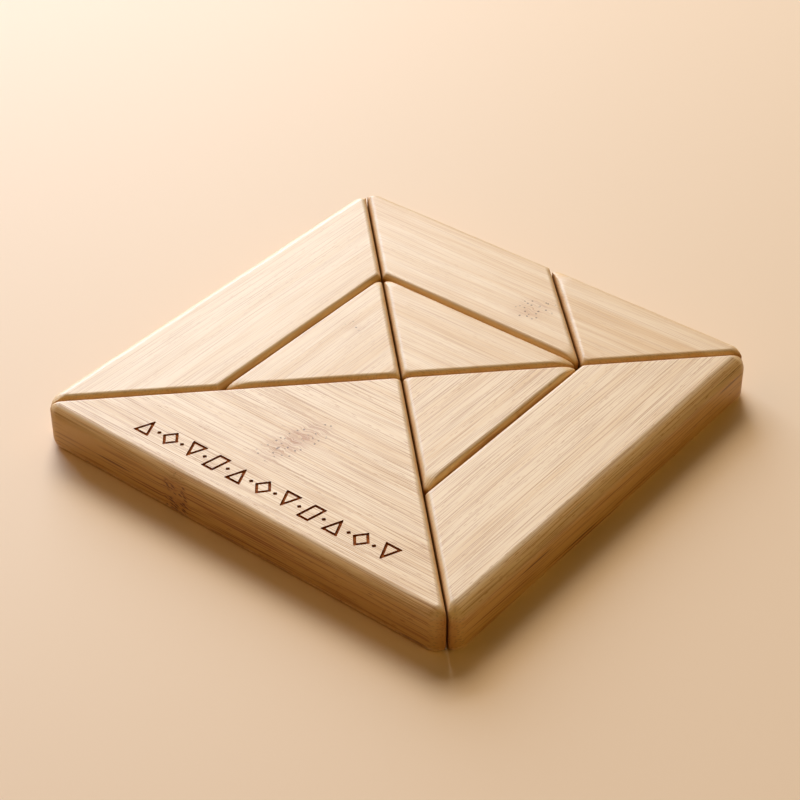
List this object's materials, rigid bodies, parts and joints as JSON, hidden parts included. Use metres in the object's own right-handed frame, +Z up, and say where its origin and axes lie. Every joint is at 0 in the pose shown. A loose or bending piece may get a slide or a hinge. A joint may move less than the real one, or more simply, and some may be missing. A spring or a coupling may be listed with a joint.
{
  "type": "tangram puzzle",
  "caption": "Wooden tangram of loose, round-edged bamboo blocks packed into a flat square, with a burned geometric border on the largest triangle.",
  "frame": {"origin": "under the middle of the packed square, at table height", "axes": "+Z up out of the table; +X along the front edge, which is the long side of the large triangle, and +Y towards the back edge"},
  "size_m": [0.125, 0.125, 0.012],
  "materials": {
    "large_triangle_bamboo": "pale bamboo, sanded smooth and lightly oiled, with a brown node mark and a burned border",
    "left_trapezoid_bamboo": "pale bamboo, sanded smooth and lightly oiled",
    "parallelogram_bamboo": "warm bamboo with a reddish node mark, sanded smooth and lightly oiled",
    "corner_triangle_bamboo": "warm bamboo, sanded smooth and lightly oiled",
    "left_inner_triangle_bamboo": "pale bamboo with a faint node mark, sanded smooth and lightly oiled",
    "back_inner_triangle_bamboo": "pale bamboo, sanded smooth and lightly oiled",
    "right_inner_triangle_bamboo": "warm bamboo, sanded smooth and lightly oiled",
    "right_trapezoid_bamboo": "warm bamboo, sanded smooth and lightly oiled"
  },
  "bodies": {
    "large_triangle": {"large_triangle": "large_triangle_bamboo"},
    "left_trapezoid": {"left_trapezoid": "left_trapezoid_bamboo"},
    "parallelogram": {"parallelogram": "parallelogram_bamboo"},
    "corner_triangle": {"corner_triangle": "corner_triangle_bamboo"},
    "left_inner_triangle": {"left_inner_triangle": "left_inner_triangle_bamboo"},
    "back_inner_triangle": {"back_inner_triangle": "back_inner_triangle_bamboo"},
    "right_inner_triangle": {"right_inner_triangle": "right_inner_triangle_bamboo"},
    "right_trapezoid": {"right_trapezoid": "right_trapezoid_bamboo"}
  },
  "joints": [
    {"name": "left_trapezoid_slides_out", "type": "slide", "parent": "large_triangle", "child": "left_trapezoid", "axis": [-1, 0, 0], "range_m": [0, 0.04]},
    {"name": "right_trapezoid_slides_out", "type": "slide", "parent": "large_triangle", "child": "right_trapezoid", "axis": [1, 0, 0], "range_m": [0, 0.04]},
    {"name": "corner_triangle_slides_out", "type": "slide", "parent": "large_triangle", "child": "corner_triangle", "axis": [0, 1, 0], "range_m": [0, 0.04]},
    {"name": "parallelogram_slides_out", "type": "slide", "parent": "large_triangle", "child": "parallelogram", "axis": [-0.7071, 0.7071, 0], "range_m": [0, 0.05]},
    {"name": "left_inner_triangle_lifts_out", "type": "slide", "parent": "large_triangle", "child": "left_inner_triangle", "axis": [0, 0, 1], "range_m": [0, 0.03]},
    {"name": "back_inner_triangle_lifts_out", "type": "slide", "parent": "large_triangle", "child": "back_inner_triangle", "axis": [0, 0, 1], "range_m": [0, 0.03]},
    {"name": "right_inner_triangle_lifts_out", "type": "slide", "parent": "large_triangle", "child": "right_inner_triangle", "axis": [0, 0, 1], "range_m": [0, 0.03]}
  ]
}
